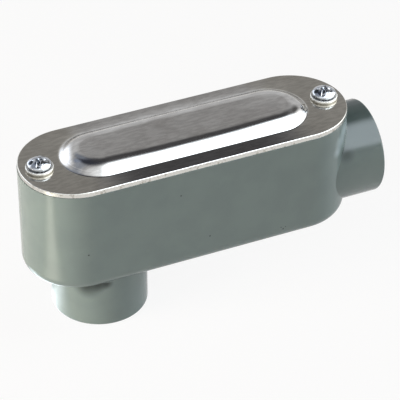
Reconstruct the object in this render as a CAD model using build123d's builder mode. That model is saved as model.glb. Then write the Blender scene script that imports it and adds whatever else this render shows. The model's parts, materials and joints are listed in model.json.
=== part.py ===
from build123d import *
from math import asin, degrees, radians, tan
import os

# LB conduit body, 3/4 trade size: a die-cast aluminium elbow box for rigid conduit.
# One hub opens down out of the box's back, the other out of its right-hand end.
#
# Frame: Z is the back hub's axis, with the cover on top, and X runs along the box towards the end hub.
# The origin lies on the back hub's axis where its tapped wall starts, just inside the mouth.

# ---- Driving dimensions, millimetres ----

# Hubs, the same at both ends
THREAD_D = 26.6  # across the roots of the tapped pipe thread
THREAD_LENGTH = 16.0
MOUTH_CHAMFER = 0.8
HUB_WALL = 3.6
HUB_RIM_RADIUS = 0.7
THROAT_D = 20.9  # bore of the conduit, which the bushing lip carries on
LIP_LENGTH = 5.0
LIP_RADIUS = 2.0

# Box
BODY_LENGTH = 120.1
BODY_HEIGHT = 40.0
HUB_SIDE_MARGIN = 2.65  # between the hubs' sides and the box's
BOTTOM_RADIUS = 4.8
WALL = 2.8
FLOOR = 2.8
CAVITY_DRAFT = 0.75  # degrees, so that the core draws out of the casting
CORE_RADIUS = 1.5
BACK_HUB_FROM_END = 27.05  # hub axis to the box's left end
END_HUB_PROJECTION = 9.95
END_HUB_RISE = 0.1  # hub's underside above the box's
HUB_ROOT_RADIUS = 0.4

# Gasket ledge inside the rim
RIM_LAND = 1.2
LEDGE_DEPTH = 0.8
GASKET_CLEARANCE = 0.1

# Cover
COVER_THICKNESS = 1.8
COVER_EDGE_RADIUS = 0.45
COVER_INSET = 0.15
DOME_HEIGHT = 3.0
DOME_FROM_END = 15.05  # the dome's foot to the box's end, which leaves room for a washer
DOME_FROM_SIDE = 6.55
DOME_SLOPE = 39.0  # degrees above the plate
DOME_FOOT_RADIUS = 4.0
DOME_CREST_RADIUS = 8.5

# Cover screws, #8-32 pan heads with narrow flat washers
SCREW_FROM_END = 7.0
SCREW_D = 4.17
SCREW_LENGTH = 9.5
SCREW_TIP_CHAMFER = 0.5
THREAD_CLEARANCE = 0.065  # radial, between the screw and its tapped hole
HEAD_D = 8.2
HEAD_SIDE_HEIGHT = 1.2
HEAD_HEIGHT = 2.75
HEAD_EDGE_RADIUS = 0.5
HEAD_UNDER_CHAMFER = 0.25
SLOT_WIDTH = 1.1
SLOT_DEPTH = 1.15
CROSS_SPAN = 4.7
CROSS_WIDTH = 1.15
CROSS_DEPTH = 1.9
CROSS_TAPER = 12.0
LEFT_SLOT_ANGLE = 64.0  # degrees from the box's length
RIGHT_SLOT_ANGLE = 59.0
WASHER_D = 9.55
WASHER_BORE = 4.8
WASHER_THICKNESS = 1.2
WASHER_EDGE_RADIUS = 0.25
BOSS_RADIUS = 4.8
BOSS_HOLE_DEPTH = 7.3
COVER_HOLE_D = 4.8

# ---- Places worked out from those ----

HUB_D = THREAD_D + 2 * HUB_WALL
HUB_DEPTH = MOUTH_CHAMFER + THREAD_LENGTH + LIP_LENGTH
BODY_WIDTH = HUB_D + 2 * HUB_SIDE_MARGIN
DOME_LENGTH = BODY_LENGTH - 2 * DOME_FROM_END
DOME_WIDTH = BODY_WIDTH - 2 * DOME_FROM_SIDE

MOUTH_Z = -MOUTH_CHAMFER
CAVITY_FLOOR_Z = MOUTH_Z + HUB_DEPTH
BODY_BOTTOM_Z = CAVITY_FLOOR_Z - FLOOR
RIM_Z = BODY_BOTTOM_Z + BODY_HEIGHT
LEDGE_Z = RIM_Z - LEDGE_DEPTH
COVER_TOP_Z = RIM_Z + COVER_THICKNESS
HEAD_SEAT_Z = COVER_TOP_Z + WASHER_THICKNESS
END_HUB_Z = BODY_BOTTOM_Z + END_HUB_RISE + HUB_D / 2

BODY_MID_X = BODY_LENGTH / 2 - BACK_HUB_FROM_END
END_MOUTH_X = BODY_MID_X + BODY_LENGTH / 2 + END_HUB_PROJECTION
SCREW_OFFSET = BODY_LENGTH / 2 - SCREW_FROM_END

# Each mouth's plane faces the way its conduit leaves
BACK_MOUTH = Plane(origin=(0, 0, MOUTH_Z), x_dir=(1, 0, 0), z_dir=(0, 0, -1))
END_MOUTH = Plane(origin=(END_MOUTH_X, 0, END_HUB_Z), x_dir=(0, 1, 0), z_dir=(1, 0, 0))


def box_plane(z):
    """The horizontal plane at height z, centred on the box."""
    return Plane((BODY_MID_X, 0, z))


def boss_outline(side):
    """Sketch one screw boss, with the web that joins it to the box's round end.

    It is drawn in a sketch on a box_plane. Side is -1 at the left end and 1 at the right.
    """
    with Locations((side * SCREW_OFFSET, 0)):
        Circle(BOSS_RADIUS)
    with Locations((side * (SCREW_OFFSET + SCREW_FROM_END / 2), 0)):
        Rectangle(SCREW_FROM_END, 2 * BOSS_RADIUS)


# ---- Casting core: the space inside the box ----

with BuildPart() as core:
    with BuildSketch(box_plane(RIM_Z)):
        SlotOverall(BODY_LENGTH - 2 * WALL, BODY_WIDTH - 2 * WALL)
    extrude(amount=CAVITY_FLOOR_Z - RIM_Z, taper=CAVITY_DRAFT)

    # The end hub's inner half stands as an arch with a solid foot, so that the core draws upwards
    with BuildSketch(END_MOUTH):
        Circle(HUB_D / 2)
        with Locations((0, -HUB_D / 2)):
            Rectangle(HUB_D, HUB_D)
    extrude(amount=-HUB_DEPTH, mode=Mode.SUBTRACT)

    # The right boss stands on the arch, and the left one runs down to the floor
    for side, foot_z in ((1, END_HUB_Z), (-1, CAVITY_FLOOR_Z)):
        with BuildSketch(box_plane(LEDGE_Z)):
            boss_outline(side)
        extrude(amount=foot_z - LEDGE_Z, mode=Mode.SUBTRACT)
        corners = core.edges(Select.NEW)
        corners = corners.filter_by_position(Axis.Z, CAVITY_FLOOR_Z - CORE_RADIUS, LEDGE_Z - CORE_RADIUS)
        if side < 0:
            bulkhead = core.faces().filter_by(Axis.X)[0]
            corners += bulkhead.edges().filter_by_position(Axis.Z, CAVITY_FLOOR_Z, END_HUB_Z)
            corners += core.faces().sort_by(Axis.Z)[0].edges()
        fillet(corners, CORE_RADIUS)

# ---- Hub bore: chamfered mouth, tapped wall, and the lip that guards the wires ----

with BuildPart() as bore:
    with BuildSketch(Plane.XZ):
        with BuildLine():
            wall = Polyline(
                (0, 0),
                (THREAD_D / 2 + MOUTH_CHAMFER, 0),
                (THREAD_D / 2, -MOUTH_CHAMFER),
                (THREAD_D / 2, LIP_LENGTH - HUB_DEPTH),
                (THROAT_D / 2, LIP_LENGTH - HUB_DEPTH),
                (THROAT_D / 2, LIP_RADIUS - HUB_DEPTH),
            )
            flare = RadiusArc(wall @ 1, (THROAT_D / 2 + LIP_RADIUS, -HUB_DEPTH), -LIP_RADIUS)
            # The bore runs on past the lip, into the box
            Polyline(
                flare @ 1,
                (THROAT_D / 2 + LIP_RADIUS, -HUB_DEPTH - LIP_RADIUS),
                (0, -HUB_DEPTH - LIP_RADIUS),
                (0, 0),
            )
        make_face()
    revolve(axis=Axis.Z)

# ---- Housing: one casting ----

with BuildPart() as housing:
    with BuildSketch(box_plane(BODY_BOTTOM_Z)):
        SlotOverall(BODY_LENGTH, BODY_WIDTH)
    extrude(amount=BODY_HEIGHT)
    fillet(housing.faces().sort_by(Axis.Z)[0].edges(), BOTTOM_RADIUS)

    # The hubs, each with a rounded root and a rounded rim
    for mouth in (BACK_MOUTH, END_MOUTH):
        with BuildSketch(mouth):
            Circle(HUB_D / 2)
        extrude(amount=-HUB_DEPTH)
        fillet(housing.edges(Select.NEW), HUB_ROOT_RADIUS)
    for rim in (housing.faces().sort_by(Axis.Z)[0], housing.faces().sort_by(Axis.X)[-1]):
        fillet(rim.edges(), HUB_RIM_RADIUS)

    # The inside: the core's space, the gasket ledge and the two hub bores
    add(core.part, mode=Mode.SUBTRACT)
    with BuildSketch(box_plane(RIM_Z)):
        SlotOverall(BODY_LENGTH - 2 * RIM_LAND, BODY_WIDTH - 2 * RIM_LAND)
    extrude(amount=-LEDGE_DEPTH, mode=Mode.SUBTRACT)
    for mouth in (BACK_MOUTH, END_MOUTH):
        add(bore.part.moved(mouth.location), mode=Mode.SUBTRACT)

    # Tapped holes for the cover screws
    with Locations([(BODY_MID_X + side * SCREW_OFFSET, 0, LEDGE_Z) for side in (-1, 1)]):
        Hole(SCREW_D / 2 + THREAD_CLEARANCE, BOSS_HOLE_DEPTH)

housing.part.label = "housing"

# ---- Gasket: lies in the ledge, level with the rim ----

with BuildPart() as cover_gasket:
    gasket_inset = RIM_LAND + GASKET_CLEARANCE
    with BuildSketch(box_plane(LEDGE_Z)):
        SlotOverall(BODY_LENGTH - 2 * gasket_inset, BODY_WIDTH - 2 * gasket_inset)
        SlotOverall(BODY_LENGTH - 2 * WALL, BODY_WIDTH - 2 * WALL, mode=Mode.SUBTRACT)
        for side in (-1, 1):
            boss_outline(side)
        SlotOverall(BODY_LENGTH - 2 * gasket_inset, BODY_WIDTH - 2 * gasket_inset, mode=Mode.INTERSECT)
        with Locations((-SCREW_OFFSET, 0), (SCREW_OFFSET, 0)):
            Circle(COVER_HOLE_D / 2, mode=Mode.SUBTRACT)
    extrude(amount=LEDGE_DEPTH)

cover_gasket.part.label = "cover_gasket"

# ---- Cover: one stamping, its dome drawn up out of the sheet ----


def dome_form(base_z, inset, crest_radius):
    """Build the dome's form on the plane at base_z, set in all round by inset."""
    with BuildPart() as form:
        with BuildSketch(box_plane(base_z)):
            SlotOverall(DOME_LENGTH - 2 * inset, DOME_WIDTH - 2 * inset)
        extrude(amount=DOME_HEIGHT, taper=90 - DOME_SLOPE)
        fillet(form.faces().sort_by(Axis.Z)[-1].edges(), crest_radius)
    return form.part


# A bend of the sheet brings its inner corner in by this much
bend_shift = COVER_THICKNESS * tan(radians(DOME_SLOPE / 2))
dome_outside = dome_form(COVER_TOP_Z, 0, DOME_CREST_RADIUS)
dome_inside = dome_form(RIM_Z, bend_shift, DOME_CREST_RADIUS - COVER_THICKNESS)

with BuildPart() as cover:
    with BuildSketch(box_plane(RIM_Z)):
        SlotOverall(BODY_LENGTH - 2 * COVER_INSET, BODY_WIDTH - 2 * COVER_INSET)
    extrude(amount=COVER_THICKNESS)
    fillet(cover.faces().sort_by(Axis.Z)[-1].edges(), COVER_EDGE_RADIUS)

    add(dome_outside)
    plate_top = cover.faces().filter_by(Axis.Z).sort_by(Axis.Z)[1]
    fillet(plate_top.inner_wires().edges(), DOME_FOOT_RADIUS)
    add(dome_inside, mode=Mode.SUBTRACT)
    underside = cover.faces().sort_by(Axis.Z)[0]
    fillet(underside.inner_wires().edges(), DOME_FOOT_RADIUS + COVER_THICKNESS)

    with Locations([(BODY_MID_X + side * SCREW_OFFSET, 0, COVER_TOP_Z) for side in (-1, 1)]):
        Hole(COVER_HOLE_D / 2)

cover.part.label = "cover"

# ---- Cover screws and their washers, alike at both ends ----

crown_rise = HEAD_HEIGHT - HEAD_SIDE_HEIGHT
crown_radius = ((HEAD_D / 2) ** 2 + crown_rise**2) / (2 * crown_rise)
crown_angle = degrees(asin(HEAD_D / 2 / crown_radius))
tip_radius = SCREW_D / 2 - SCREW_TIP_CHAMFER
washers = {}
screws = {}

for name, side, slot_angle in (("left", -1, LEFT_SLOT_ANGLE), ("right", 1, RIGHT_SLOT_ANGLE)):
    screw_x = BODY_MID_X + side * SCREW_OFFSET

    with BuildPart() as washer:
        with BuildSketch(Plane((screw_x, 0, COVER_TOP_Z))):
            Circle(WASHER_D / 2)
            Circle(WASHER_BORE / 2, mode=Mode.SUBTRACT)
        extrude(amount=WASHER_THICKNESS)
        fillet(washer.faces().sort_by(Axis.Z)[-1].outer_wire().edges(), WASHER_EDGE_RADIUS)
    washer.part.label = f"{name}_washer"
    washers[name] = washer.part

    with BuildPart() as screw:
        with BuildSketch(Plane(origin=(screw_x, 0, HEAD_SEAT_Z), x_dir=(1, 0, 0), z_dir=(0, -1, 0))):
            with BuildLine():
                Polyline(
                    (0, HEAD_HEIGHT),
                    (0, -SCREW_LENGTH),
                    (tip_radius, -SCREW_LENGTH),
                    (SCREW_D / 2, SCREW_TIP_CHAMFER - SCREW_LENGTH),
                    (SCREW_D / 2, 0),
                    (HEAD_D / 2 - HEAD_UNDER_CHAMFER, 0),
                    (HEAD_D / 2, HEAD_UNDER_CHAMFER),
                    (HEAD_D / 2, HEAD_SIDE_HEIGHT),
                )
                CenterArc((0, HEAD_HEIGHT - crown_radius), crown_radius, 90 - crown_angle, crown_angle)
            make_face()
        revolve(axis=Axis((screw_x, 0, 0), (0, 0, 1)))
        head_side = screw.faces().filter_by(GeomType.CYLINDER).sort_by(Axis.Z)[-1]
        head_corner = head_side.edges().filter_by(GeomType.CIRCLE).sort_by(Axis.Z)[-1]
        fillet(head_corner, HEAD_EDGE_RADIUS)

        # The driver recess: a slot right across, and a cross that tapers inwards
        with BuildSketch(Plane((screw_x, 0, HEAD_SEAT_Z + HEAD_HEIGHT))):
            Rectangle(HEAD_D, SLOT_WIDTH, rotation=slot_angle)
        extrude(amount=-SLOT_DEPTH, mode=Mode.SUBTRACT)
        with BuildSketch(Plane((screw_x, 0, HEAD_SEAT_Z + HEAD_HEIGHT))):
            Rectangle(CROSS_SPAN, CROSS_WIDTH, rotation=slot_angle)
            Rectangle(CROSS_WIDTH, CROSS_SPAN, rotation=slot_angle)
        extrude(amount=-CROSS_DEPTH, taper=CROSS_TAPER, mode=Mode.SUBTRACT)
    screw.part.label = f"{name}_screw"
    screws[name] = screw.part

# ---- Files ----

os.makedirs("parts", exist_ok=True)
export_step(housing.part, "parts/housing.step")
export_step(cover_gasket.part, "parts/cover_gasket.step")
export_step(cover.part, "parts/cover.step")
for name in ("left", "right"):
    export_step(washers[name], f"parts/{name}_washer.step")
    export_step(screws[name], f"parts/{name}_screw.step")
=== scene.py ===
"""Looks of a die-cast conduit body: finishes, cut threads, floor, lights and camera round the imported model.

Every length is in metres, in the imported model's own frame: Z is the back hub's axis with the cover on top,
and X runs along the box towards the end hub.
"""

import json
import logging
import math
from dataclasses import dataclass, replace
from enum import Enum

import bmesh
import bpy
from mathutils import Matrix, Vector


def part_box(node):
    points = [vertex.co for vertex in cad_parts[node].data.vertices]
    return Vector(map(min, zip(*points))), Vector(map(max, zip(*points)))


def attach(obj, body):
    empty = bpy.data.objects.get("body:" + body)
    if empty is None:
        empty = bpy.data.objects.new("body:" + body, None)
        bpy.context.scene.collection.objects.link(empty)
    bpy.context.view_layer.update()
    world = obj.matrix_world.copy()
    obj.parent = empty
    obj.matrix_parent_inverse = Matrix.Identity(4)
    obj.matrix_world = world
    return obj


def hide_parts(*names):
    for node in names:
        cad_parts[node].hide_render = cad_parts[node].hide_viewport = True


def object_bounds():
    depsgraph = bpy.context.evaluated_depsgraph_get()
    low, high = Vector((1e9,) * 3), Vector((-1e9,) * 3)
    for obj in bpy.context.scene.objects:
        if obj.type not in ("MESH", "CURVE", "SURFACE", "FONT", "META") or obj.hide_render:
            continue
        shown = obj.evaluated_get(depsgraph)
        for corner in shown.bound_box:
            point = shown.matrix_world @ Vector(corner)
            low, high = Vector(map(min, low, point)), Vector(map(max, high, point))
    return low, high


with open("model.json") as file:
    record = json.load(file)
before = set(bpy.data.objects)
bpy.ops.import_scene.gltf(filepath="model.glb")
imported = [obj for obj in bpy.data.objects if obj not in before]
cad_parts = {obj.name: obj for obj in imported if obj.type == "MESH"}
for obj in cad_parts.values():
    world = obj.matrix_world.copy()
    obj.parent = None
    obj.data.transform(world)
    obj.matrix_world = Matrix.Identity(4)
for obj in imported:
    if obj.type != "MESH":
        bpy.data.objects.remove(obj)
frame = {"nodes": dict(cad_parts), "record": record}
CAD_LOW, CAD_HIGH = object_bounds()

LOG = logging.getLogger("conduit_body")
MM = 0.001
INCH = 25.4 * MM
SMOOTH_UP_TO = math.radians(32)
MERGE = 1e-7
SLIVER = 1e-6

Colour = tuple[float, float, float]
Point = tuple[float, float, float]
Span = tuple[float, float]
Socket = bpy.types.NodeSocket

# Parts of a noise's range that a finish varies over
WIDE: Span = (0.3, 0.7)
NARROW: Span = (0.35, 0.65)
UPPER: Span = (0.4, 0.7)

# Results that fade out along a span, where the usual ones fade in
FADE: Span = (1.0, 0.0)


# ---- Shader building ----


class Graph:
    """A material's node tree, with short calls for the nodes that the finishes share."""

    def __init__(self, name: str) -> None:
        """Start an empty material with one Principled shader.

        Args:
            name: The material's name.
        """
        self.material = bpy.data.materials.new(name)
        self.material.use_nodes = True
        self.nodes = self.material.node_tree.nodes
        self.links = self.material.node_tree.links
        self.nodes.clear()
        self.output = self.nodes.new("ShaderNodeOutputMaterial")
        self.shader = self.nodes.new("ShaderNodeBsdfPrincipled")
        self.links.new(self.shader.outputs["BSDF"], self.output.inputs["Surface"])
        self.place = self.nodes.new("ShaderNodeTexCoord").outputs["Object"]

    def put(self, node: bpy.types.Node, socket: str | int, value: object) -> None:
        """Set a socket to a number or colour, or link it to another node's output.

        Args:
            node: The node whose input is set.
            socket: The input's name or index.
            value: A number, a colour or vector, or an output socket.
        """
        if isinstance(value, Socket):
            self.links.new(value, node.inputs[socket])
        else:
            node.inputs[socket].default_value = value

    def mapped(self, scale: Point = (1, 1, 1), offset: Point = (0, 0, 0)) -> Socket:
        """Object coordinates, moved and stretched.

        Args:
            scale: Factor along each axis.
            offset: Shift in metres, before the scale.

        Returns:
            The vector output.
        """
        node = self.nodes.new("ShaderNodeMapping")
        node.inputs["Scale"].default_value = scale
        node.inputs["Location"].default_value = [-s * o for s, o in zip(scale, offset)]
        self.links.new(self.place, node.inputs["Vector"])
        return node.outputs["Vector"]

    def noise(self, scale: float, detail: float = 2.0, vector: Socket | None = None) -> Socket:
        """Fractal noise in object space, about 0.5.

        Args:
            scale: Cells per metre.
            detail: Octaves.
            vector: Coordinates, or None for plain object coordinates.

        Returns:
            The factor output.
        """
        node = self.nodes.new("ShaderNodeTexNoise")
        node.inputs["Scale"].default_value = scale
        node.inputs["Detail"].default_value = detail
        self.links.new(vector or self.place, node.inputs["Vector"])
        return node.outputs["Fac"]

    def span(
        self, value: Socket, low: float, high: float, to_low: float = 0.0, to_high: float = 1.0
    ) -> Socket:
        """Map a value's span low to high onto another, clamped.

        Args:
            value: The value to map.
            low: Start of the span.
            high: End of the span.
            to_low: Result at low.
            to_high: Result at high.

        Returns:
            The mapped value.
        """
        node = self.nodes.new("ShaderNodeMapRange")
        node.interpolation_type = "SMOOTHSTEP"
        ends = {"From Min": low, "From Max": high, "To Min": to_low, "To Max": to_high}
        for socket, number in ends.items():
            node.inputs[socket].default_value = number
        self.links.new(value, node.inputs["Value"])
        return node.outputs["Result"]

    def maths(self, operation: str, a: object, b: object = 0.0) -> Socket:
        """Join two values with a Math node, or work on one.

        Args:
            operation: Blender's name for the operation.
            a: First number or output.
            b: Second number or output, for the operations that take two.

        Returns:
            The result.
        """
        node = self.nodes.new("ShaderNodeMath")
        node.operation = operation
        self.put(node, 0, a)
        self.put(node, 1, b)
        return node.outputs["Value"]

    def product(self, first: object, *others: object) -> Socket:
        """Multiply any count of values.

        Args:
            first: First number or output.
            others: The rest of them.

        Returns:
            The product.
        """
        for other in others:
            first = self.maths("MULTIPLY", first, other)
        return first

    def blend(self, factor: Socket, a: object, b: object) -> Socket:
        """Mix two colours.

        Args:
            factor: 0 gives a, 1 gives b.
            a: First colour or output.
            b: Second colour or output.

        Returns:
            The mixed colour.
        """
        node = self.nodes.new("ShaderNodeMix")
        node.data_type = "RGBA"
        self.links.new(factor, node.inputs["Factor"])
        for socket, value in ((6, a), (7, b)):
            self.put(node, socket, (*value, 1.0) if isinstance(value, tuple) else value)
        return node.outputs[2]

    def near(self, centre: Point, inner: float, outer: float) -> Socket:
        """A soft-edged ball in object space.

        Args:
            centre: The ball's middle.
            inner: Radius out to which it is full.
            outer: Radius where it ends.

        Returns:
            1 inside the ball and 0 outside.
        """
        node = self.nodes.new("ShaderNodeVectorMath")
        node.operation = "DISTANCE"
        self.links.new(self.place, node.inputs[0])
        node.inputs[1].default_value = centre
        return self.span(node.outputs["Value"], inner, outer, *FADE)

    def axes(self, offset: Point = (0, 0, 0)) -> tuple[Socket, ...]:
        """X, Y and Z in object space, from a chosen origin.

        Args:
            offset: The origin, in metres.

        Returns:
            The three outputs.
        """
        node = self.nodes.new("ShaderNodeSeparateXYZ")
        self.links.new(self.mapped(offset=offset), node.inputs["Vector"])
        return node.outputs["X"], node.outputs["Y"], node.outputs["Z"]

    def normal(self) -> Socket:
        """The surface's own normal."""
        return self.nodes.new("ShaderNodeNewGeometry").outputs["Normal"]

    def tilt(self) -> tuple[Socket, Socket]:
        """How far the surface's own normal leans.

        Returns:
            The lean towards +X and the one towards +Y.
        """
        parts = self.nodes.new("ShaderNodeSeparateXYZ")
        self.links.new(self.normal(), parts.inputs["Vector"])
        return parts.outputs["X"], parts.outputs["Y"]

    def lean(self, along: Socket, across: Socket) -> Socket:
        """The surface's own normal, leaned over a little.

        Args:
            along: Lean towards +X, as a slope.
            across: Lean towards +Y, as a slope.

        Returns:
            The leaned normal.
        """
        slope = self.nodes.new("ShaderNodeCombineXYZ")
        self.put(slope, "X", along)
        self.put(slope, "Y", across)
        total = self.nodes.new("ShaderNodeVectorMath")
        self.links.new(self.normal(), total.inputs[0])
        self.links.new(slope.outputs["Vector"], total.inputs[1])
        level = self.nodes.new("ShaderNodeVectorMath")
        level.operation = "NORMALIZE"
        self.links.new(total.outputs["Vector"], level.inputs[0])
        return level.outputs["Vector"]

    def bump(self, height: Socket, depth: float, under: Socket | None = None) -> Socket:
        """Turn a height into a bumped normal.

        Args:
            height: Height from 0 to 1.
            depth: What a height of 1 stands for, in metres.
            under: A bumped normal that this one lies on.

        Returns:
            The normal.
        """
        node = self.nodes.new("ShaderNodeBump")
        node.inputs["Distance"].default_value = depth
        self.links.new(height, node.inputs["Height"])
        if under:
            self.links.new(under, node.inputs["Normal"])
        return node.outputs["Normal"]

    def finish(
        self, colour: Socket, roughness: Socket, normal: Socket, metallic: float = 0.0
    ) -> bpy.types.Material:
        """Fill the shader in.

        Args:
            colour: Its colour.
            roughness: Its roughness.
            normal: Its normal.
            metallic: 1 for bare metal.

        Returns:
            The material.
        """
        values = {"Base Color": colour, "Metallic": metallic, "Roughness": roughness, "Normal": normal}
        for socket, value in values.items():
            self.put(self.shader, socket, value)
        return self.material


# ---- Finishes ----


@dataclass(frozen=True)
class Mark:
    """A soft round mark in a finish, cut off above a height where one is given."""

    centre: Point
    inner: float
    outer: float
    colour: Colour
    below: float | None = None
    cut_blur: float = 0.4 * MM

    def share(self, g: Graph) -> Socket:
        """How much of the mark shows at each point.

        Args:
            g: The finish's graph.

        Returns:
            1 in the mark and 0 outside.
        """
        ball = g.near(self.centre, self.inner, self.outer)
        if self.below is None:
            return ball
        return g.product(ball, g.span(g.axes()[2], self.below - self.cut_blur, self.below, *FADE))

    def moved(self, origin: Vector) -> "Mark":
        """The same mark, its centre counted from an origin.

        Args:
            origin: The origin, in metres.

        Returns:
            The moved mark.
        """
        return replace(self, centre=tuple(origin + Vector(self.centre)))


def marked(g: Graph, colour: Socket, marks: tuple[Mark, ...]) -> Socket:
    """Lay marks over a colour.

    Args:
        g: The finish's graph.
        colour: The clean colour.
        marks: The marks, each over the one before.

    Returns:
        The marked colour.
    """
    for mark in marks:
        colour = g.blend(mark.share(g), colour, mark.colour)
    return colour


SPECK: Colour = (0.03, 0.035, 0.03)
# Painted shade in the crease under the box, on the back hub
BACK_CREASE_SHADE: Colour = (0.022, 0.031, 0.029)
# Painted shade in the crease where the end hub meets the box
END_CREASE_SHADE: Colour = (0.070, 0.092, 0.090)
# Painted sheen on the box's round end
PAINTED_SHEEN: Colour = (0.265, 0.325, 0.335)
# Painted shade and dark reflections on the screws' plating
PLATE_SHADE: Colour = (0.035, 0.04, 0.05)
BOX_FRONT = -0.0195
BOX_UNDERSIDE = 0.0181

# Specks on the box's front: X, Z and radius
SPECKS: tuple[tuple[float, float, float], ...] = (
    (-0.0108, 0.0341, 0.00025),
    (0.0338, 0.0287, 0.00018),
    (0.0619, 0.0231, 0.00018),
    (0.0611, 0.0240, 0.00013),
    (0.0628, 0.0238, 0.00013),
    (0.0230, 0.0491, 0.00018),
)

COAT_MARKS: tuple[Mark, ...] = (
    *(Mark((x, BOX_FRONT, z), radius, 2 * radius, SPECK) for x, z, radius in SPECKS),
    # Painted shade in the creases where the hubs meet the box
    Mark((-0.0102, -0.0142, 0.0169), 0.0005, 0.0070, BACK_CREASE_SHADE, BOX_UNDERSIDE),
    Mark((-0.0066, -0.0157, 0.0173), 0.0003, 0.0042, BACK_CREASE_SHADE, BOX_UNDERSIDE),
    Mark((-0.0038, -0.0165, 0.0176), 0.0003, 0.0032, BACK_CREASE_SHADE, BOX_UNDERSIDE),
    Mark((0.0882, -0.0142, 0.0442), 0.0003, 0.0045, END_CREASE_SHADE),
    # A painted sheen on the box's round end
    Mark((0.0872, -0.0140, 0.0548), 0.0006, 0.0042, PAINTED_SHEEN),
    Mark((0.0852, -0.0156, 0.0515), 0.0006, 0.0044, PAINTED_SHEEN),
    Mark((0.0838, -0.0166, 0.0482), 0.0002, 0.0034, PAINTED_SHEEN),
)

# Painted shade in the recess and painted dark reflections on the left and at the back of a screw's head,
# counted from the middle of its top
HEAD_SHADE: tuple[Mark, ...] = (
    Mark((0.0, 0.0, -0.0013), 0.0013, 0.00195, PLATE_SHADE),
    Mark((-0.0029, 0.0002, -0.0008), 0.0007, 0.0013, PLATE_SHADE),
    Mark((0.0021, 0.0019, -0.0006), 0.0006, 0.0012, PLATE_SHADE),
)


@dataclass(frozen=True)
class PowderCoat:
    """The smooth grey-green coat on the casting, with a faint orange peel and its marks: specks, painted crease
    shade and a painted sheen.
    """

    colour: Colour = (0.140, 0.181, 0.173)
    shade: Colour = (0.130, 0.169, 0.163)
    roughness: Span = (0.09, 0.17)
    mottle_scale: float = 90
    gloss_scale: float = 400
    peel_scale: float = 1500
    peel_depth: float = 0.003 * MM

    def material(self) -> bpy.types.Material:
        """Build the coat.

        Returns:
            The material.
        """
        g = Graph("powder_coat")
        mottle = g.span(g.noise(self.mottle_scale, 3), *NARROW)
        # Specks, painted crease shade and a painted sheen laid over the mottled coat
        colour = marked(g, g.blend(mottle, self.colour, self.shade), COAT_MARKS)
        roughness = g.span(g.noise(self.gloss_scale, 3), *WIDE, *self.roughness)
        return g.finish(colour, roughness, g.bump(g.noise(self.peel_scale), self.peel_depth))


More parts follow.
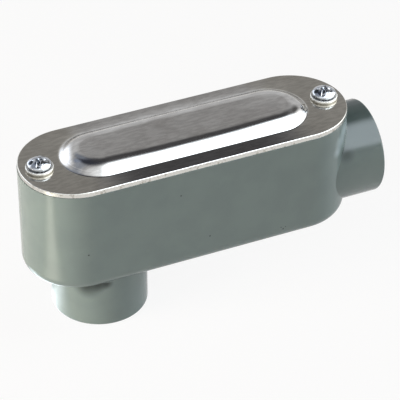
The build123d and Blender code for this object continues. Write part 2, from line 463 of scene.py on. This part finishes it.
@dataclass(frozen=True)
class StampedSheet:
    """Stamped aluminium sheet: satin, gently wavy, spotted along its grain, bright on its sheared edge.

    The draw has left it slack. The dome's ends are softly crowned past a level middle, and its foot is
    crisp. The rim in front of the dome leans between the screws, and so does the rim behind it, the other
    way. Heights are counted from the rim's face, and X and Y from the sheet's middle.
    """

    middle: Point
    colour: Colour = (0.750, 0.734, 0.707)
    dull: Colour = (0.636, 0.614, 0.587)
    clouds_scale: float = 150
    clouds: Span = (0.35, 0.7)

    # Wear on the rim's ends, by distance from the middle
    worn: Colour = (0.571, 0.543, 0.484)
    wear: Span = (29 * MM, 41 * MM)
    wear_scale: float = 70
    wear_wander: float = 4 * MM

    # Small dark spots, drawn out along the grain
    spot: Colour = (0.0, 0.0, 0.0)
    spot_share: float = 0.16
    spot_scale: float = 900
    spot_stretch: Point = (0.3, 1, 1)

    # The sheared edge, by height
    sheared: Colour = (0.72, 0.71, 0.67)
    nicked: Colour = (0.52, 0.50, 0.45)
    nick_scale: float = 700
    nicks: Span = (0.56, 0.66)
    edge: Span = (-0.25 * MM, -0.05 * MM)
    edge_roughness: float = 0.15

    roughness: Span = (0.08, 0.14)
    grain_scale: float = 900
    grain_stretch: Point = (0.05, 1, 1)
    grain_depth: float = 0.0012 * MM
    wave_scale: float = 45
    wave_depth: float = 0.2 * MM

    # The dome's start by height, its crown by distance from the middle, and the lips by Y and X
    dome: Span = (0.05 * MM, 0.3 * MM)
    level_half: float = 17.7 * MM
    crown_along: float = 2.35
    crown_across: float = 9.0
    crown: Span = (8 * MM, 38 * MM)
    lip_start: float = 12.5 * MM
    lip_blur: float = 0.3 * MM
    lip_end: float = 18.5 * MM
    lip_half: float = 49 * MM
    lip_pull: float = 0.23
    back_pull: float = 0.13

    # The dome's foot, by height, and by how far the slope faces the back
    foot_sharp: float = 1.5
    foot_rise: Span = (0.03 * MM, 0.22 * MM)
    foot_fall: Span = (0.3 * MM, 0.9 * MM)
    foot_back: Span = (0.0, 0.3)
    foot_face: Span = (-0.1 * MM, -0.02 * MM)

    def slack(self, g: Graph) -> Socket:
        """Lean the normal over the crowned ends, both lips and the foot.

        Args:
            g: The finish's graph.

        Returns:
            The normal.
        """
        x, y, height = g.axes(self.middle)
        on_dome = g.span(height, *self.dome)
        from_middle = g.maths("ABSOLUTE", x)
        past_level = g.maths("MAXIMUM", g.maths("SUBTRACT", from_middle, self.level_half), 0.0)
        along = g.product(past_level, self.crown_along, g.maths("SIGN", x), on_dome)
        across = g.product(y, self.crown_across, g.span(from_middle, *self.crown), on_dome)
        towards_end = g.maths("POWER", g.maths("DIVIDE", x, self.lip_half), 2.0)
        bow = g.maths("MAXIMUM", g.maths("SUBTRACT", 1.0, towards_end), 0.0)
        front = g.product(g.span(y, -self.lip_start - self.lip_blur, -self.lip_start, *FADE), self.lip_pull)
        back = g.product(g.span(y, 0.0, self.lip_start), g.span(y, self.lip_start, self.lip_end, *FADE))
        pull = g.maths("SUBTRACT", front, g.product(back, self.back_pull))
        lips = g.product(pull, bow, g.maths("SUBTRACT", 1.0, on_dome))
        foot_along, foot_across = self.foot(g, height)
        across = g.maths("SUBTRACT", across, lips)
        return g.lean(g.maths("ADD", along, foot_along), g.maths("ADD", across, foot_across))

    def foot(self, g: Graph, height: Socket) -> tuple[Socket, Socket]:
        """Sharpen the dome's foot on its front and ends: level for longer, and then steep sooner.

        Args:
            g: The finish's graph.
            height: Height above the rim's face.

        Returns:
            The lean to add along X and along Y.
        """
        along, across = g.tilt()
        rising = g.span(height, *self.foot_rise, 0.0, self.foot_sharp)
        falling = g.span(height, *self.foot_fall, 1.0, 1 / self.foot_sharp)
        extra = g.maths("SUBTRACT", g.product(rising, falling), 1.0)
        share = g.product(extra, g.span(across, *self.foot_back, *FADE), g.span(height, *self.foot_face))
        return g.product(along, share), g.product(across, share)

    def material(self) -> bpy.types.Material:
        """Build the sheet's finish.

        Returns:
            The material.
        """
        g = Graph("stamped_aluminium")
        x, _, height = g.axes(self.middle)
        clouds = g.noise(self.clouds_scale, 4)
        face = g.blend(g.span(clouds, *self.clouds), self.colour, self.dull)
        wander = g.span(g.noise(self.wear_scale, 3), *WIDE, -self.wear_wander, self.wear_wander)
        at_ends = g.maths("ADD", g.maths("ABSOLUTE", x), wander)
        worn = g.product(g.span(at_ends, *self.wear), g.span(height, *self.dome, *FADE))
        face = g.blend(worn, face, self.worn)
        spots = g.noise(self.spot_scale, 4, g.mapped(self.spot_stretch))
        face = g.blend(g.span(spots, *NARROW, 0.0, self.spot_share), face, self.spot)
        nicks = g.span(g.noise(self.nick_scale, 3), *self.nicks)
        on_edge = g.span(height, *self.edge, *FADE)
        colour = g.blend(on_edge, face, g.blend(nicks, self.sheared, self.nicked))
        satin = g.span(clouds, *WIDE, *self.roughness)
        roughness = g.maths("ADD", satin, g.product(on_edge, self.edge_roughness))
        waves = g.bump(g.noise(self.wave_scale, 0), self.wave_depth, self.slack(g))
        grain = g.noise(self.grain_scale, 3, g.mapped(self.grain_stretch))
        return g.finish(colour, roughness, g.bump(grain, self.grain_depth, waves), metallic=1.0)


@dataclass(frozen=True)
class SeatShade:
    """Painted shade round the foot of a head or washer, from the seat that it lies on.

    It is full up to one height over the seat and gone at another, and starts a little below the seat.
    """

    seat: float
    full: float
    gone: float
    below: float = 0.1 * MM

    def share(self, g: Graph) -> Socket:
        """How much painted shade there is at each point.

        Args:
            g: The finish's graph.

        Returns:
            1 where it is full and 0 where there is none.
        """
        height = g.axes()[2]
        starting = g.span(height, self.seat - self.below, self.seat)
        return g.product(starting, g.span(height, self.seat + self.full, self.seat + self.gone, *FADE))


@dataclass(frozen=True)
class BrightZinc:
    """Bright zinc plate on the screws and washers, slightly blue, with painted shade round its foot."""

    name: str
    seat_shade: SeatShade
    marks: tuple[Mark, ...] = ()
    colour: Colour = (0.64, 0.66, 0.69)
    bloomed: float = 0.8
    bloom_scale: float = 700
    roughness: Span = (0.02, 0.14)
    ripple_depth: float = 0.2 * MM
    grain_scale: float = 2500
    grain_depth: float = 0.003 * MM
    shade_colour: Colour = PLATE_SHADE

    def material(self) -> bpy.types.Material:
        """Build the plating.

        Returns:
            The material.
        """
        g = Graph(self.name)
        bloom = g.noise(self.bloom_scale, 3)
        plate = g.blend(g.span(bloom, *UPPER), self.colour, tuple(self.bloomed * c for c in self.colour))
        # Painted shade round the foot, where the part lies on its seat, laid over the plate and its marks
        plate = g.blend(self.seat_shade.share(g), marked(g, plate, self.marks), self.shade_colour)
        ripples = g.bump(g.noise(self.bloom_scale, 1), self.ripple_depth)
        grain = g.bump(g.noise(self.grain_scale), self.grain_depth, ripples)
        return g.finish(plate, g.span(bloom, *WIDE, *self.roughness), grain, metallic=1.0)


@dataclass(frozen=True)
class CutAluminium:
    """Bare aluminium inside the hubs, bright where the tap cut it."""

    colour: Colour = (0.66, 0.66, 0.65)
    dull: Colour = (0.5, 0.5, 0.49)
    dull_scale: float = 300
    roughness: Span = (0.23, 0.36)
    chatter_scale: float = 3000
    chatter_depth: float = 0.008 * MM

    def material(self) -> bpy.types.Material:
        """Build the cut metal.

        Returns:
            The material.
        """
        g = Graph("cut_aluminium")
        chatter = g.noise(self.chatter_scale)
        colour = g.blend(g.span(g.noise(self.dull_scale, 3), *UPPER), self.colour, self.dull)
        roughness = g.span(chatter, *WIDE, *self.roughness)
        return g.finish(colour, roughness, g.bump(chatter, self.chatter_depth), metallic=1.0)


@dataclass(frozen=True)
class GasketSheet:
    """Black neoprene sheet, matt, with a fine tooth."""

    colour: Colour = (0.018, 0.018, 0.017)
    greyed: Colour = (0.035, 0.035, 0.034)
    roughness: Span = (0.65, 0.85)
    grain_scale: float = 2600
    grain_depth: float = 0.02 * MM

    def material(self) -> bpy.types.Material:
        """Build the rubber.

        Returns:
            The material.
        """
        g = Graph("neoprene")
        grain = g.noise(self.grain_scale, 3)
        colour = g.blend(g.span(grain, *UPPER), self.colour, self.greyed)
        return g.finish(colour, g.span(grain, *WIDE, *self.roughness), g.bump(grain, self.grain_depth))


# ---- Helpers for objects and meshes ----


def dress(node: str, material: bpy.types.Material) -> None:
    """Give a CAD node its one finish.

    Args:
        node: The node's name.
        material: Its finish.
    """
    frame["nodes"][node].data.materials.clear()
    frame["nodes"][node].data.materials.append(material)


def placed(name: str, data: bpy.types.ID) -> bpy.types.Object:
    """Put a new object in the scene.

    Args:
        name: The object's name.
        data: Its mesh, lamp or camera.

    Returns:
        The object.
    """
    obj = bpy.data.objects.new(name, data)
    bpy.context.scene.collection.objects.link(obj)
    return obj


def mesh_object(name: str, mesh: bmesh.types.BMesh, material: bpy.types.Material) -> bpy.types.Object:
    """Make an object of a finished bmesh.

    Args:
        name: The object's name, and its mesh's.
        mesh: The bmesh, already in place; it is freed.
        material: Its finish.

    Returns:
        The object.
    """
    data = bpy.data.meshes.new(name)
    mesh.to_mesh(data)
    mesh.free()
    data.materials.append(material)
    return placed(name, data)


def add_piece(
    name: str, mesh: bmesh.types.BMesh, material: bpy.types.Material, body: str
) -> bpy.types.Object:
    """Make a visible piece, smooth shaded where it is smooth, and let it ride on a body.

    Args:
        name: The piece's name.
        mesh: The bmesh, already in place; it is freed.
        material: Its finish.
        body: The CAD body that it moves with.

    Returns:
        The piece.
    """
    bmesh.ops.recalc_face_normals(mesh, faces=mesh.faces)
    obj = mesh_object(name, mesh, material)
    obj.data.shade_smooth()
    obj.data.set_sharp_from_angle(angle=SMOOTH_UP_TO)
    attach(obj, body)
    return obj


def cut_level(mesh: bmesh.types.BMesh, height: float, side: int, snap: float) -> None:
    """Cut a bmesh off at a level, leaving it open.

    Args:
        mesh: The bmesh.
        height: The cut's height.
        side: What goes: 1 for all above the cut, -1 for all below.
        snap: How close to the cut a vertex counts as on it.
    """
    bmesh.ops.bisect_plane(
        mesh,
        geom=mesh.verts[:] + mesh.edges[:] + mesh.faces[:],
        dist=snap,
        plane_co=(0, 0, height),
        plane_no=(0, 0, side),
        clear_outer=True,
    )


@dataclass(frozen=True)
class Thread:
    """A right-handed thread as a closed sleeve or rod about +Z, from z = 0 to its length.

    Root is the radius at the bottom of the groove and crest the one at the ridge's top. Back is the hidden
    radius that closes a sleeve behind its wall. Flat is the width of crest and root, below is how far the helix
    starts under z = 0, merge joins one turn to the next and snap is the trim's reach, all four in pitches.
    """

    root: float
    crest: float
    pitch: float
    length: float
    back: float = 0.0
    taper: float = 0.0
    lead_in: float = 0.0
    flat: float = 0.1
    below: float = 1.5
    merge: float = 0.001
    snap: float = 0.00001
    spare_turns: int = 3
    steps: int = 48

    def ridge(self) -> bmesh.types.BMesh:
        """Wind one pitch's outline up the helix, and trim it level at both ends.

        Returns:
            The open threaded surface.
        """
        bm = bmesh.new()
        outline = (
            (self.root, 0.0),
            (self.root, self.flat),
            (self.crest, 0.5 - self.flat / 2),
            (self.crest, 0.5 + self.flat / 2),
            (self.root, 1.0),
        )
        corners = [bm.verts.new((radius, 0.0, (rise - self.below) * self.pitch)) for radius, rise in outline]
        edges = [bm.edges.new(pair) for pair in zip(corners, corners[1:])]
        turns = math.ceil(self.length / self.pitch) + self.spare_turns
        bmesh.ops.spin(
            bm,
            geom=corners + edges,
            cent=(0, 0, 0),
            axis=(0, 0, 1),
            dvec=(0, 0, self.pitch / self.steps),
            angle=math.tau * turns,
            steps=turns * self.steps,
            use_merge=False,
        )
        bmesh.ops.remove_doubles(bm, verts=bm.verts, dist=self.merge * self.pitch)
        for height, side in ((0.0, -1), (self.length, 1)):
            cut_level(bm, height, side, self.snap * self.pitch)
        return bm

    def sleeve(self) -> bmesh.types.BMesh:
        """The thread cut in a bore: tapered inwards, led in at the mouth, and closed behind its wall.

        Returns:
            The closed sleeve.
        """
        bm = self.ridge()
        for vert in bm.verts:
            radius = vert.co.xy.length
            narrowed = radius - self.taper * vert.co.z
            led_in = max(narrowed, self.root + self.lead_in - vert.co.z) if self.lead_in else narrowed
            vert.co.xy *= min(led_in, self.back - SLIVER) / radius
        rims = [edge for edge in bm.edges if edge.is_boundary]
        moved = bmesh.ops.extrude_edge_only(bm, edges=rims)["geom"]
        for vert in (v for v in moved if isinstance(v, bmesh.types.BMVert)):
            vert.co.xy *= self.back / vert.co.xy.length
        bmesh.ops.bridge_loops(bm, edges=[edge for edge in bm.edges if edge.is_boundary])
        return bm

    def rod(self, tip: float) -> bmesh.types.BMesh:
        """The thread on a shank, chamfered at its lower end.

        Args:
            tip: Radius that the lower end narrows to.

        Returns:
            The closed rod.
        """
        bm = self.ridge()
        for vert in bm.verts:
            radius = vert.co.xy.length
            vert.co.xy *= min(radius, tip + vert.co.z) / radius
        bmesh.ops.holes_fill(bm, edges=bm.edges[:])
        return bm


# ---- Sub-assemblies ----


@dataclass
class Housing:
    """The casting: its coat, and the threads cut in its two hubs."""

    pitch: float = INCH / 14
    depth: float = 1.38 * MM
    wall_cover: float = 0.02 * MM
    hidden: float = 0.3 * MM
    taper: float = 1 / 32
    steps: int = 72

    def hub_thread(self, mount: dict, name: str, metal: bpy.types.Material) -> bpy.types.Object:
        """Cut one hub's pipe thread, from its mount's dimensions.

        Args:
            mount: The hub's mount in the record.
            name: The piece's name.
            metal: Finish of the cut metal.

        Returns:
            The thread's object.
        """
        radius = mount["dims"]["r_mm"] * MM
        length = mount["dims"]["length_mm"] * MM
        outwards = Vector(mount["axis"])
        thread = Thread(
            root=radius - self.wall_cover,
            crest=radius - self.depth,
            pitch=self.pitch,
            length=length - self.wall_cover,
            back=radius + self.hidden,
            taper=self.taper,
            lead_in=-self.wall_cover,
            steps=self.steps,
        )
        bm = thread.sleeve()
        mouth = Vector(mount["pos_m"])
        turn = (-outwards).to_track_quat("Z", "Y").to_matrix().to_4x4()
        bmesh.ops.transform(bm, matrix=Matrix.Translation(mouth) @ turn, verts=bm.verts)
        piece = add_piece(name, bm, metal, "box")
        return piece

    def build(self) -> list[bpy.types.Object]:
        """Dress the casting and its gasket, and add the two threads.

        Returns:
            The new pieces.
        """
        dress("housing", PowderCoat().material())
        dress("cover_gasket", GasketSheet().material())
        metal = CutAluminium().material()
        mounts = {mount["name"]: mount for mount in frame["record"]["mounts"]}
        return [self.hub_thread(mounts[f"{hub}_hub"], f"{hub}_hub_thread", metal) for hub in ("back", "end")]


@dataclass
class Cover:
    """The stamped cover. Face is the height of its flat rim."""

    face: float = 60.0 * MM

    def build(self) -> None:
        """Dress the cover."""
        low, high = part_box("cover")
        middle = (low + high) / 2
        dress("cover", StampedSheet((middle.x, middle.y, self.face)).material())


class Side(Enum):
    """An end of the cover, by its screw."""

    LEFT = "left"
    RIGHT = "right"


@dataclass
class CoverScrews:
    """The two cover screws with their washers: plated heads, and rolled #8-32 shanks."""

    pitch: float = INCH / 32
    thread_depth: float = 0.46 * MM
    stub: float = 0.05 * MM
    tip_chamfer: float = 0.5 * MM
    below_head: float = 1 * MM
    steps: int = 36
    snap: float = 1e-8
    # Spans over the seat where the painted shade round a head's foot and a washer's foot is full and gone
    seat_shade: Span = (0.3 * MM, 1.0 * MM)
    washer_seat_shade: Span = (0.2 * MM, 0.8 * MM)
    washer_colour: Colour = (0.86, 0.84, 0.79)
    # Colour of the painted shade round a washer's foot
    washer_shade_colour: Colour = (0.30, 0.28, 0.24)
    washer_roughness: Span = (0.41, 0.53)

    def screw(self, side: Side) -> bpy.types.Object:
        """Replace a screw's plain shank by a threaded one, keeping its head.

        Args:
            side: The screw's end of the cover.

        Returns:
            The new screw.
        """
        low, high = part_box(f"{side.value}_screw")
        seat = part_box(f"{side.value}_washer")[1][2]
        centre = (low + high) / 2
        head = bmesh.new()
        head.from_mesh(frame["nodes"][f"{side.value}_screw"].data)
        bmesh.ops.remove_doubles(head, verts=head.verts, dist=MERGE)
        shank = [vert.co.xy for vert in head.verts if vert.co.z < seat - self.below_head]
        shank_radius = max((place - centre.xy).length for place in shank)
        cut_level(head, seat - self.stub, -1, self.snap)
        bmesh.ops.holes_fill(head, edges=head.edges[:])
        root = shank_radius - self.thread_depth
        thread = Thread(root, shank_radius, self.pitch, seat - low.z + self.stub, steps=self.steps)
        rod = thread.rod(shank_radius - self.tip_chamfer)
        bmesh.ops.transform(rod, matrix=Matrix.Translation((centre.x, centre.y, low.z)), verts=rod.verts)
        threaded = bpy.data.meshes.new("shank")
        rod.to_mesh(threaded)
        rod.free()
        head.from_mesh(threaded)
        bpy.data.meshes.remove(threaded)
        # Painted shade in the recess and painted dark reflections on the head's flanks
        marks = tuple(mark.moved(Vector((centre.x, centre.y, high.z))) for mark in HEAD_SHADE)
        plate = BrightZinc(f"{side.value}_screw_zinc", SeatShade(seat, *self.seat_shade), marks).material()
        piece = add_piece(f"{side.value}_cover_screw", head, plate, f"{side.value}_screw_body")
        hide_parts(f"{side.value}_screw")
        return piece

    def build(self) -> list[bpy.types.Object]:
        """Dress the washers and make both screws.

        Returns:
            The new screws.
        """
        # The washers take a painted shade round their foot, where they lie on the cover
        ring = BrightZinc(
            "washer_zinc_plate",
            SeatShade(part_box("left_washer")[0][2], *self.washer_seat_shade),
            colour=self.washer_colour,
            roughness=self.washer_roughness,
            shade_colour=self.washer_shade_colour,
        ).material()
        for side in Side:
            dress(f"{side.value}_washer", ring)
        return [self.screw(side) for side in Side]


# ---- Studio ----


def direction(azimuth: float, elevation: float) -> Vector:
    """The unit vector towards an azimuth and elevation in degrees, where azimuth 0 is -Y and 90 is +X."""
    across, up = math.radians(azimuth), math.radians(elevation)
    return Vector((math.sin(across) * math.cos(up), -math.cos(across) * math.cos(up), math.sin(up)))


def facing(target: Vector, azimuth: float, elevation: float, distance: float, turn: float = 0.0) -> Matrix:
    """Where a panel or the camera stands so that it faces a point.

    Args:
        target: The point that it faces.
        azimuth: Its direction round the object, in degrees.
        elevation: Its direction above the horizon, in degrees.
        distance: How far off it stands.
        turn: How far it is turned about its own middle, in degrees.

    Returns:
        Its place.
    """
    away = direction(azimuth, elevation)
    level = away.to_track_quat("Z", "Y").to_matrix().to_4x4()
    return Matrix.Translation(target + away * distance) @ level @ Matrix.Rotation(math.radians(turn), 4, "Z")


def gloss_only(name: str, mesh: bmesh.types.BMesh, material: bpy.types.Material) -> bpy.types.Object:
    """Make a part of the studio that nothing but gloss sees.

    Args:
        name: Its name.
        mesh: Its bmesh, which is freed.
        material: Its glow.

    Returns:
        Its object.
    """
    obj = mesh_object(name, mesh, material)
    obj.visible_camera = obj.visible_diffuse = obj.visible_shadow = False
    return obj


def seen(tree: bpy.types.NodeTree, direct: float, gloss: float) -> Socket:
    """How strongly the camera sees a glow, by itself and by way of gloss or glass. Diffuse light gets 0.

    Args:
        tree: The node tree that the glow is in.
        direct: Share for rays from the camera.
        gloss: Share for rays by way of gloss or glass.

    Returns:
        The share.
    """
    path = tree.nodes.new("ShaderNodeLightPath")
    total = None
    for ray, share in (("Is Camera Ray", direct), ("Is Glossy Ray", gloss), ("Is Transmission Ray", gloss)):
        part = tree.nodes.new("ShaderNodeMath")
        part.operation = "MULTIPLY_ADD"
        tree.links.new(path.outputs[ray], part.inputs[0])
        part.inputs[1].default_value = share
        part.inputs[2].default_value = 0.0
        if total:
            tree.links.new(total, part.inputs[2])
        total = part.outputs["Value"]
    return total


@dataclass(frozen=True)
class Panel:
    """A soft rectangular light that faces the object. Gloss doesn't show it: it shows the tent instead."""

    name: str
    azimuth: float
    elevation: float
    size: tuple[float, float]
    radiance: float
    tint: Colour = (1, 1, 1)
    distance: float = 1.2

    def build(self, target: Vector) -> None:
        """Hang the panel in its direction from the object, turned to face it.

        Args:
            target: The point that it faces.
        """
        lamp = bpy.data.lights.new(self.name, "AREA")
        lamp.shape = "RECTANGLE"
        lamp.size, lamp.size_y = self.size
        lamp.energy = self.radiance * math.pi * self.size[0] * self.size[1]
        lamp.color = self.tint
        obj = placed(self.name, lamp)
        obj.matrix_world = facing(target, self.azimuth, self.elevation, self.distance)
        obj.visible_glossy = False


@dataclass(frozen=True)
class Patch:
    """A soft-edged round patch of light or shade on the tent.

    It is full out to its inner angle from its own middle and gone at its outer angle, both in degrees.
    """

    azimuth: float
    elevation: float
    inner: float
    outer: float
    glow: Colour


@dataclass(frozen=True)
class Tent:
    """A round tent over the object that only gloss shows: it neither lights the object nor shades it."""

    radius: float = 1.6
    rings: int = 32
    gap: float = 1 * MM
    cloth: Colour = (0.60, 0.61, 0.63)
    patches: tuple[Patch, ...] = (
        Patch(16, -4, 76, 100, (1.15, 1.2, 1.25)),
        Patch(194, 69, 12, 32, (0.045, 0.05, 0.07)),
        Patch(135, 59, 10, 30, (0.075, 0.075, 0.08)),
        Patch(117, 34, 4, 18, (0.10, 0.10, 0.10)),
        Patch(157, 38, 3, 20, (0.345, 0.345, 0.35)),
        Patch(-171, 50, 3, 14, (0.24, 0.27, 0.33)),
        Patch(-137, 52, 3, 13, (0.30, 0.35, 0.46)),
        Patch(-110, 55, 6, 19, (0.33, 0.36, 0.42)),
        Patch(-140, 2, 20, 44, (2.1, 2.25, 2.5)),
        Patch(50, 43, 24, 44, (4.4, 4.8, 5.2)),
        Patch(82, 14, 18, 36, (3.0, 3.1, 3.2)),
        Patch(15, -8, 33, 45, (1.0, 1.05, 1.05)),
    )

    def chord(self, angle: float) -> float:
        """Straight distance between two points of the tent that are an angle in degrees apart."""
        return 2 * self.radius * math.sin(math.radians(angle) / 2)

    def build(self, target: Vector) -> None:
        """Pitch the tent round the object, down to just above the floor.

        Args:
            target: Its middle.
        """
        bm = bmesh.new()
        bmesh.ops.create_uvsphere(bm, u_segments=2 * self.rings, v_segments=self.rings, radius=self.radius)
        cut_level(bm, CAD_LOW.z - target.z + self.gap, -1, SLIVER)
        g = Graph("tent")
        glow: object = self.cloth
        for patch in self.patches:
            middle = tuple(direction(patch.azimuth, patch.elevation) * self.radius)
            share = g.near(middle, self.chord(patch.inner), self.chord(patch.outer))
            glow = g.blend(share, glow, patch.glow)
        light = g.nodes.new("ShaderNodeEmission")
        g.put(light, "Color", glow)
        g.links.new(light.outputs["Emission"], g.output.inputs["Surface"])
        tent = gloss_only("tent", bm, g.material)
        tent.location = target


@dataclass(frozen=True)
class LowCard:
    """A glowing card that lies just above the floor beside the object, and that only gloss shows.

    Core is the share of its half width that has its full glow, which then falls to 1 at its long edges.
    """

    name: str
    middle: tuple[float, float]
    size: tuple[float, float]
    azimuth: float
    glow: float
    tint: Colour = (1, 1, 1)
    core: float = 0.1
    lift: float = 0.2 * MM

    def build(self) -> None:
        """Lay the card down, its length pointing away from the object."""
        bm = bmesh.new()
        bmesh.ops.create_grid(bm, x_segments=1, y_segments=1, size=0.5)
        bmesh.ops.scale(bm, vec=(*self.size, 1), verts=bm.verts)
        g = Graph(self.name)
        glow = g.nodes.new("ShaderNodeEmission")
        glow.inputs["Color"].default_value = (*self.tint, 1)
        edge = self.size[0] / 2
        off_middle = g.maths("ABSOLUTE", g.axes()[0])
        g.put(glow, "Strength", g.span(off_middle, self.core * edge, edge, self.glow, 1.0))
        g.links.new(glow.outputs["Emission"], g.output.inputs["Surface"])
        card = gloss_only(self.name, bm, g.material)
        spin = Matrix.Rotation(math.radians(self.azimuth), 4, "Z")
        card.matrix_world = Matrix.Translation((*self.middle, CAD_LOW.z + self.lift)) @ spin


@dataclass(frozen=True)
class Studio:
    """A pale floor, a white room, soft panels and the camera."""

    aim: Point = (0.0321, -0.0148, 0.0414)
    azimuth: float = -23.995
    elevation: float = 36.72
    roll: float = 0.15
    distance: float = 0.7239
    lens: float = 190.3
    sensor: float = 36.0
    clip: Span = (0.01, 50.0)
    ambient: float = 0.12
    floor_size: float = 6.0
    floor_colour: Colour = (0.85, 0.85, 0.85)
    floor_glow: float = 0.90
    floor_gloss: float = 0.60
    panels: tuple[Panel, ...] = (
        Panel("left_panel", -88, 10, (0.7, 0.5), 23.5, (1.0, 0.87, 0.75)),
        Panel("right_panel", 84, 10, (0.6, 0.5), 16, (0.93, 0.97, 1.0)),
        Panel("front_panel", -42, 25, (0.6, 0.5), 5.2),
    )
    tent: Tent = Tent()
    low_cards: tuple[LowCard, ...] = (
        LowCard("left_strip", (-0.075, -0.0285), (0.036, 0.070), -74, 3.4, (1.0, 0.97, 0.84)),
        LowCard("hub_pad", (-0.0255, 0.0055), (0.022, 0.040), -112, 3.8, (0.86, 0.95, 1.0)),
    )

    def camera(self) -> None:
        """Set the camera up."""
        data = bpy.data.cameras.new("camera")
        data.lens = self.lens
        data.sensor_width = self.sensor
        data.clip_start, data.clip_end = self.clip
        obj = placed("camera", data)
        obj.matrix_world = facing(Vector(self.aim), self.azimuth, self.elevation, self.distance, self.roll)
        bpy.context.scene.camera = obj

    def room(self) -> None:
        """Make the world: white to look at, and a soft even light."""
        world = bpy.data.worlds.new("room")
        world.use_nodes = True
        bpy.context.scene.world = world
        tree = world.node_tree
        strength = tree.nodes.new("ShaderNodeMapRange")
        strength.inputs["To Min"].default_value = self.ambient
        strength.inputs["To Max"].default_value = 1.0
        tree.links.new(seen(tree, 1.0, 1.0), strength.inputs["Value"])
        background = tree.nodes["Background"]
        background.inputs["Color"].default_value = (1, 1, 1, 1)
        tree.links.new(strength.outputs["Result"], background.inputs["Strength"])

    def floor(self) -> None:
        """Lay the floor under the object's lowest point, nearly white, keeping the object's shadow."""
        bm = bmesh.new()
        bmesh.ops.create_grid(bm, x_segments=1, y_segments=1, size=self.floor_size / 2)
        bmesh.ops.translate(bm, vec=(0, 0, CAD_LOW.z), verts=bm.verts)
        material = bpy.data.materials.new("pale_floor")
        material.use_nodes = True
        tree = material.node_tree
        tree.nodes.clear()
        diffuse = tree.nodes.new("ShaderNodeBsdfDiffuse")
        diffuse.inputs["Color"].default_value = (*self.floor_colour, 1)
        glow = tree.nodes.new("ShaderNodeEmission")
        mix = tree.nodes.new("ShaderNodeMixShader")
        tree.links.new(seen(tree, self.floor_glow, self.floor_gloss), mix.inputs["Fac"])
        tree.links.new(diffuse.outputs["BSDF"], mix.inputs[1])
        tree.links.new(glow.outputs["Emission"], mix.inputs[2])
        tree.links.new(mix.outputs["Shader"], tree.nodes.new("ShaderNodeOutputMaterial").inputs["Surface"])
        mesh_object("floor", bm, material)

    def build(self) -> None:
        """Set up the floor, room, lights and camera."""
        bpy.context.scene.view_settings.view_transform = "Standard"
        self.floor()
        self.room()
        for piece in (*self.panels, self.tent):
            piece.build((CAD_LOW + CAD_HIGH) / 2)
        for card in self.low_cards:
            card.build()
        self.camera()


def main() -> None:
    """Dress the object, set the studio up and report each new piece."""
    logging.basicConfig(level=logging.INFO, format="%(name)s: %(message)s")
    pieces = Housing().build()
    Cover().build()
    pieces += CoverScrews().build()
    Studio().build()
    for piece in pieces:
        LOG.info("%s: %d faces", piece.name, len(piece.data.polygons))


if __name__ == "__main__":
    main()
